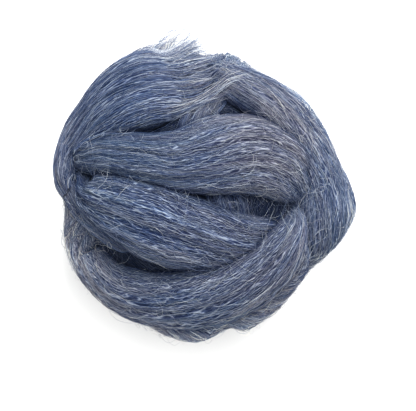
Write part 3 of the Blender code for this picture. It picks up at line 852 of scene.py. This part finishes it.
# The loose end: the last of the roving, a thin sheet of fibres that lies fanned out over the turn
# it is drawn from. It was pulled off the hank, not cut, so its tip parts into ragged locks.
LOOSE_END = (  # from its root to its tip: bearing, elevation, width and lift
    (183, 25, 12, 0), (178.5, 22.6, 21, 0), (173, 21, 29, 0), (167.5, 19.7, 33, 0),
    (161, 20, 35, 0), (153, 23.5, 40, 0), (144, 26.5, 46, 0), (133, 30, 54, 0), (121, 32.5, 60, 0),
    (109, 33.5, 63, 0.3), (97, 31.5, 60, 1), (87, 28, 52, 2.5),
)
END_THICK = 2.0 * MM
END_EDGE = 0.12  # how much of its thickness it keeps at its edges
END_GAP = 0.6 * MM  # how clear of the turn beneath it lies
END_ROWS = 100
END_SPLITS = 2  # columns of faces for each column that a lock is said to have
LOCKS_PART_AT = 0.84
LOCK_TAPER = 0.8
LOCK_TIP_THICK = 0.3  # how much of its thickness the loose end keeps at its tips
LOCKS = (  # across the tip: each one's columns and its length, as a share of the longest
    (3, 0.66), (2, 0.9), (4, 1), (3, 0.78), (2, 0.95), (4, 0.66), (3, 0.85), (2, 0.4), (3, 0.65),
    (2, 0.3),
)
END_FLAT = (64 * MM, 113 * MM)
END_WARMTH = 0.7
END_LIGHT = 0.44
end_path = spline(np.array([
    [*direction(bearing, elevation), width * MM, lift * MM] for bearing, elevation, width, lift in LOOSE_END
]), False)
end_middle = unit(end_path[:, :3])
end_across = unit(np.cross(end_middle, np.gradient(end_middle, axis=0)))
end_columns = np.concatenate([end_middle, end_across, end_path[:, 3:]], 1)
end_length = ARC_RADIUS * np.linalg.norm(np.diff(end_middle, axis=0), axis=1).sum()


def on_loose_end(along, across):
    """Directions and lifts over the loose end, from its root at 0 to its tip at 1 and, beyond it,
    straight on. Across runs from -1 to 1."""
    place = along.clip(0, 1) * (len(end_columns) - 1)
    steps = np.arange(len(end_columns))
    here = [np.interp(place, steps, column) for column in end_columns.T]
    middle, sideways = unit(np.stack(here[:3], -1)), unit(np.stack(here[3:6], -1))
    onward = np.cross(sideways, middle)
    stride = (np.maximum(along - 1, 0) * end_length / ARC_RADIUS)[..., None]
    swing = (across * here[6] / 2 / ARC_RADIUS)[..., None]
    onto = np.cos(stride) * middle + np.sin(stride) * onward
    return unit(np.cos(swing) * onto + np.sin(swing) * sideways), here[7]


def body_left(along):
    """How full the loose end is along its length: it thins out at its root and to its tip."""
    return (0.25 + 0.75 * smooth_step(along / 0.14)) * (1 - 0.65 * smooth_step((along - 0.6) / 0.25))


def end_warmth(along):
    """How grey the loose end's blend is next to the rest: bluer, and as grey again at its tip."""
    return END_WARMTH + (1 - END_WARMTH) * smooth_step((along - 0.55) / 0.3)


def loose_end():
    """The sheet, full in the middle, thin at its edges and at its tips."""
    wide = [columns * END_SPLITS for columns, _ in LOCKS]
    columns = sum(wide)
    lock_of_column = np.repeat(np.arange(len(LOCKS)), wide)
    seams = [sum(wide[:k]) for k in range(len(LOCKS) + 1)]
    bpy.ops.mesh.primitive_grid_add(x_subdivisions=END_ROWS, y_subdivisions=columns, size=2)
    end = bpy.context.object
    end.name = end.data.name = "loose_sheet"
    shape = bmesh.new()
    shape.from_mesh(end.data)
    part_at = math.floor(LOCKS_PART_AT * END_ROWS) / END_ROWS

    def by_corners(face):
        first, second, third = sorted(v.index for v in face.verts)[:3]
        return (first * len(shape.verts) + second) * len(shape.verts) + third

    def between_locks(edge):
        seam = round((edge.verts[0].co.y + 1) / 2 * columns)
        level = abs(edge.verts[0].co.y - edge.verts[1].co.y) < 1e-6
        parted = min(v.co.x for v in edge.verts) > 2 * part_at - 1 - 1e-4
        return level and parted and seam in seams[1:-1]

    bmesh.ops.split_edges(shape, edges=[e for e in shape.edges if between_locks(e)])
    thick = bmesh.ops.extrude_face_region(shape, geom=shape.faces[:])
    top = {v for v in thick["geom"] if isinstance(v, bmesh.types.BMVert)}
    places = []
    for vertex in shape.verts:
        faces_middle = sum(f.calc_center_median().y for f in vertex.link_faces)
        column = math.floor((faces_middle / len(vertex.link_faces) + 1) / 2 * columns)
        lock = lock_of_column[min(max(column, 0), columns - 1)]
        along, across = (vertex.co.x + 1) / 2, vertex.co.y
        first, last = seams[lock] * 2 / columns - 1, seams[lock + 1] * 2 / columns - 1
        in_lock = (2 * across - first - last) / (last - first)
        fullness = body_left(along) * math.sqrt(max(1 - across**2, 0)) ** 0.7
        if along > part_at:
            beyond = (along - part_at) / (1 - part_at)
            lock_body = math.sqrt(max(1 - min(abs(in_lock), 1) ** 2, 0))
            fullness *= 1 - beyond * (1 - LOCK_TIP_THICK)
            fullness *= 1 - min(3 * beyond, 1) * (1 - lock_body)
            across = (first + last) / 2 + (across - (first + last) / 2) * (1 - LOCK_TAPER * beyond**1.2)
            along = part_at + (along - part_at) * LOCKS[lock][1]
        above = END_GAP + (END_EDGE + (1 - END_EDGE) * fullness) * END_THICK * (vertex in top)
        places.append((along, across, above))
    along, across, above = np.array(places).T
    towards, lift = on_loose_end(along, across)
    beneath = ball_height(towards)
    for vertex, point in zip(shape.verts, at_height(towards, beneath + lift + above)):
        vertex.co = point
    bmesh.ops.recalc_face_normals(shape, faces=shape.faces)
    shape.faces.sort(key=by_corners)  # Blender leaves them in another order each time
    lay, bake = shape.loops.layers.uv.new("lay"), shape.loops.layers.uv.new("OFBake")
    dye = shape.verts.layers.float_color.new("dye")
    own = blended(end_warmth(along) * warmth(towards), END_LIGHT)
    # Painted shade under the other fibres, and painted light and shade by where the sheet lies.
    tints = in_shade(UNDER_FIBRES_PAINTED_SHADE * painted_light_and_shade(towards, beneath + above), own)
    for vertex, tint in zip(shape.verts, tints):
        vertex[dye] = (*tint, 1)
    for face in shape.faces:
        face.smooth = True
        upper = sum(v in top for v in face.verts) > len(face.verts) / 2
        for corner in face.loops:
            along_here, across_here, _ = places[corner.vert.index]
            corner[lay].uv = (along_here * end_length, across_here * END_FLAT[0] / 2)
            corner[bake].uv = (0.01 + 0.98 * along_here, (0.26 if upper else 0.76) + 0.24 * across_here)
    shape.to_mesh(end.data)
    shape.free()
    return end


sheet = loose_end()
sheet.data.materials.append(WOUND_WOOL)
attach(sheet, "root")
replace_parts(sheet, "loose_end")


# The fibres of the loose end: staple drawn straight along it. Those at its tip run on past its
# locks and stand clear of the ball, as fine wisps that hold together only by their crimp.
Hairs = namedtuple("Hairs", "name count starts furthest lengths radii rise loft fan edges lighter")
FINE, FINEST = (0.05, 0.13), (0.035, 0.08)
# The crossing strand runs on over the next turn at its inner edge, and the hairs are at the corner of
# its tip, where the wool is thin enough to see through. Starts and furthest ends are shares of its
# length, edges are shares of half its width, and lengths, radii and rise are in millimetres.
END_FIBRES = (
    Hairs("loose_fibres", 1500, (-0.05, 0.85), (0.86, 1), (11, 26), FINE, 0.25, 0.6, 0.1, (-1.03, 1.03), 0),
    Hairs("loose_wisps", 380, (0.72, 0.95), (0.95, 1.09), (9, 26), FINE, 0.5, 1.5, 0.4, (-0.95, 0.95), 0.1),
    Hairs("crossing_strand", 40, (0.66, 0.8), (1.06, 1.17), (28, 46), FINE, 1.2, 0.3, 0.02, (-1, -0.84), 0.2),
    Hairs("tip_hairs", 640, (0.76, 0.93), (0.98, 1.22), (9, 24), FINEST, 1.3, 4.5, 0.75, (0.1, 1), 0.2),
)
REACH_OUT = 5.5 * MM


def evened(heights):
    """Heights along each hair, with the sudden steps between them smoothed out."""
    for _ in range(2):
        padded = np.concatenate([heights[:, :1], heights, heights[:, -1:]], 1)
        heights = (padded[:, :-2] + 2 * padded[:, 1:-1] + padded[:, 2:]) / 4
    return heights


def within_reach(points):
    """The points, none further than the reach of a loose hair out of the CAD model's box."""
    return points.clip(np.array(cad_box[0]) - REACH_OUT, np.array(cad_box[1]) + REACH_OUT)


def end_fibres(kind):
    """Fibres along the loose end. Their rise is over its surface, and past its tip they also
    leave it by a loft, and spread out sideways by a fan."""
    each = (kind.count, 1)
    long = rng.uniform(*np.multiply(kind.lengths, MM), each) / end_length
    start = np.minimum(rng.uniform(*kind.starts, each), rng.uniform(*kind.furthest, each) - long)
    along = start + long * ALONG_FIBRE
    centre = rng.uniform(*kind.edges, each)
    beat = math.tau * along * end_length / CRIMP_LONG + 30 * centre + rng.normal(0, 0.7, each)
    half = END_FLAT[0] / 2
    crimp = CRIMP_DEEP * rng.uniform(0.2, 1.2, each) * np.sin(beat)
    slant = rng.normal(0, 1.2 * MM, each) * (ALONG_FIBRE - 0.5) * 2
    beyond = np.maximum(along - LOCKS_PART_AT, 0) * end_length
    spread = kind.fan * (centre + rng.normal(0, 0.5, each)) * beyond
    across = centre + (crimp + slant + spread) / half
    towards, lift = on_loose_end(along, across)
    flat = END_EDGE + (1 - END_EDGE) * body_left(along) * np.sqrt((1 - across**2).clip(0, 1)) ** 0.7
    thick = END_THICK * flat * np.clip(1.3 - 4 * np.maximum(along - LOCKS_PART_AT, 0), 0.1, 1)
    base = evened(ball_height(towards)) + lift + END_GAP + thick
    arch = np.sin(math.pi * ALONG_FIBRE) ** 0.6
    up = kind.rise * MM * rng.exponential(1, each).clip(0, 3) * arch - FIBRE_TUCK * (1 - arch)
    clear = kind.loft * rng.uniform(0.1, 1.2, each) * beyond**2 / (2 * ARC_RADIUS)
    points = within_reach(at_height(towards, base + up + clear))
    grey = end_warmth(along[:, FIBRE_POINTS // 2])
    lane = (centre * half)[:, 0]
    colours = staple_colours(towards, base + up + clear, lane, 20, warmer=grey, lighter=kind.lighter)
    radii = rng.uniform(*np.multiply(kind.radii, MM), kind.count)
    return spun(kind.name, rested(points), towards, radii, colours)


end_pieces = [end_fibres(kind) for kind in END_FIBRES]
for piece in end_pieces:
    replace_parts(piece, "loose_end")


# Stray hairs: single fibres that have worked loose from the turns. They bridge the creases at odd
# angles, stand up as a soft halo round the outline, and curl where they hang free.
Strays = namedtuple("Strays", "name count points lengths rises angle curl radii")
STRAYS = (
    Strays("stray_hairs", 4000, 8, (8, 24), (0.3, 1.2), 24, 0.9, (0.03, 0.065)),
    Strays("halo_hairs", 900, 8, (7, 20), (1.5, 4.8), 70, 4.5, (0.04, 0.065)),
    Strays("fuzz", 3000, 5, (3, 8), (0.6, 2.2), 50, 1.5, (0.03, 0.05)),
)
STRAY_LOWEST = 0.5 * MM


def strays(kind, paths):
    """Hairs that start on one of the combed fibres and leave it at an angle, each with a curl."""
    chosen = rng.integers(0, len(paths), kind.count)
    step = FIBRE_POINTS // 2
    root, ahead = paths[chosen, step], paths[chosen, step + 1] - paths[chosen, step]
    towards = unit((root - CENTRE) / (HALF_SIZES + TURN_THICK))
    forward = unit(ahead - np.sum(ahead * towards, 1)[:, None] * towards)
    turn = np.radians(rng.normal(0, kind.angle, kind.count))
    curl = rng.normal(0, kind.curl, kind.count)
    long = rng.uniform(*kind.lengths, kind.count) * MM
    line = [towards]
    for k in range(1, kind.points):
        beside = np.cross(towards, forward)
        turn = turn + curl / kind.points + 0.25 * np.sin(1.9 * k + 7 * curl)
        heading = np.cos(turn)[:, None] * forward + np.sin(turn)[:, None] * beside
        onward = unit(towards + (long / kind.points / ARC_RADIUS)[:, None] * heading)
        forward = unit(forward - np.sum(forward * onward, 1)[:, None] * onward)
        towards = onward
        line.append(towards)
    line = np.stack(line, 1)
    share = np.linspace(0, 1, kind.points)[None]
    rise = rng.uniform(*kind.rises, (kind.count, 1)) * MM
    free = rng.random((kind.count, 1)) < 0.4
    lifted = rise * np.where(free, share**0.8, np.sin(math.pi * share) ** 0.7) - FIBRE_TUCK * (1 - share) ** 4
    under = ball_height(line)
    height = evened(np.maximum(under, 0.5 * (under + read(AROUND_MAP, line)))) + lifted
    points = rested(within_reach(at_height(line, height)), STRAY_LOWEST)
    colours = staple_colours(line, height, 0 * long, number=30, lighter=0.14)
    return spun(kind.name, points, line, rng.uniform(*kind.radii, kind.count) * MM, colours)


for kind in STRAYS:
    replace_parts(strays(kind, paths), "wound_ball")


# The table that the ball lies on and the daylight over it, from a large window beyond the ball and
# the ceiling overhead. The camera looks straight down.
TABLE_EDGE = 8  # metres from its middle, so far that it looks endless
floor_corners = [(TABLE_EDGE * x, TABLE_EDGE * y, 0) for x, y in ((-1, -1), (1, -1), (1, 1), (-1, 1))]
floor_mesh = bpy.data.meshes.new("table")
floor_mesh.from_pydata(floor_corners, [], [(0, 1, 2, 3)])
floor = placed("table", floor_mesh)
paint = bpy.data.materials.new("white_table")
paint.use_nodes = True
finish = paint.node_tree.nodes["Principled BSDF"].inputs
finish["Base Color"].default_value = (0.88, 0.88, 0.87, 1)
finish["Roughness"].default_value = 0.9
floor_mesh.materials.append(paint)


def soft_light(name, place, size, power):
    """A large soft white light that faces the ball."""
    lamp = bpy.data.lights.new(name, "AREA")
    lamp.shape, lamp.size, lamp.energy = "DISK", size, power
    aim = Vector(np.array([0, 0, 50 * MM]) - place)
    placed(name, lamp, place).rotation_euler = aim.to_track_quat("-Z", "Y").to_euler()


soft_light("window", (0.33, 0.93, 1.05), size=0.9, power=39.5)
soft_light("ceiling", (0.1, 0.1, 1.6), size=1.2, power=26)

world = bpy.data.worlds.new("room")
world.use_nodes = True
air = world.node_tree.nodes["Background"].inputs
air["Color"].default_value = (1, 1, 1, 1)
air["Strength"].default_value = 0.66
scene = bpy.context.scene
scene.world = world
scene.view_settings.view_transform = "Standard"

CAMERA_PLACE = (0.96 * MM, -8.42 * MM, 800 * MM)
LENS = 118.6
lens = bpy.data.cameras.new("camera")
lens.lens, lens.sensor_width, lens.sensor_fit = LENS, 36, "HORIZONTAL"
lens.clip_end = 20
scene.camera = placed("camera", lens, CAMERA_PLACE)
